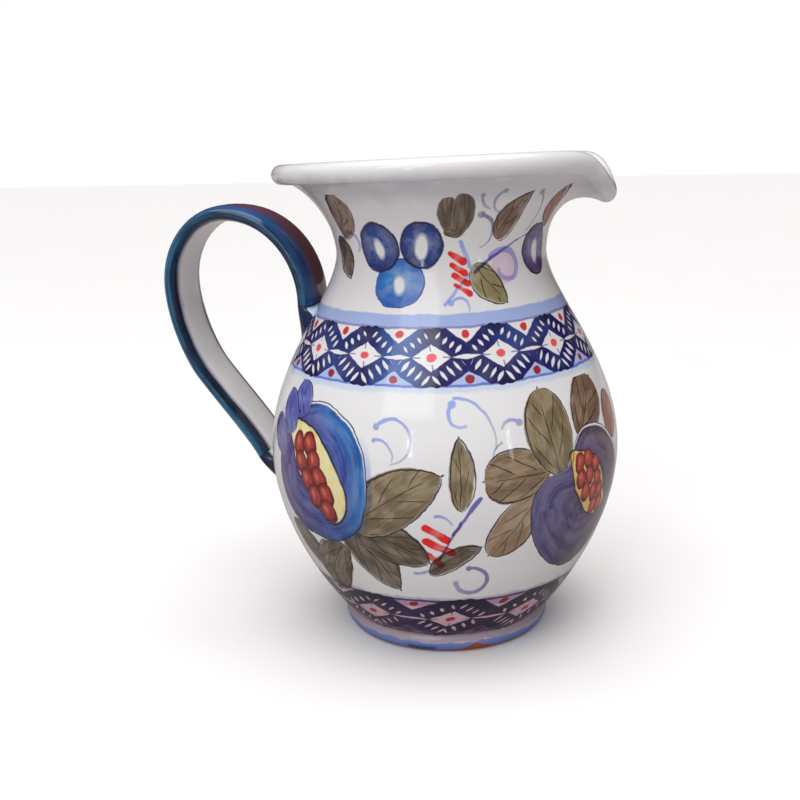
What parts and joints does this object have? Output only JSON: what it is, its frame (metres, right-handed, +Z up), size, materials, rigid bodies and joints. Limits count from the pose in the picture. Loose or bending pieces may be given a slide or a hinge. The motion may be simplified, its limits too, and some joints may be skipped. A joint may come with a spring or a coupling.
{
  "type": "glazed ceramic pitcher",
  "caption": "Round-bellied glazed earthenware pitcher with a flared rim, a drooping pulled lip, a strap handle and hand-painted bands, fruit and leaves.",
  "frame": {"origin": "on the turning axis of the body, in the plane of the foot ring's standing face", "axes": "+Z up along the turning axis, +X from the handle toward the pouring lip, +Y completes the right-handed frame"},
  "size_m": [0.2076, 0.1566, 0.2122],
  "materials": {
    "clay": "bare fired earthenware, matt",
    "white_glaze": "glossy white tin glaze with hand-painted decoration",
    "lining": "glossy plain white glaze",
    "blue_glaze": "glossy deep blue glaze, white on the inner face of the strap",
    "slip_glaze": "glossy pale blue wash over slip"
  },
  "bodies": {
    "root": {"body_wall": "clay", "foot_ring": "clay", "handle_strap": "clay", "handle_top_joint": "slip_glaze", "handle_bottom_joint": "slip_glaze", "body_glaze": "white_glaze", "lining_glaze": "lining", "handle_glaze": "blue_glaze"}
  },
  "joints": []
}
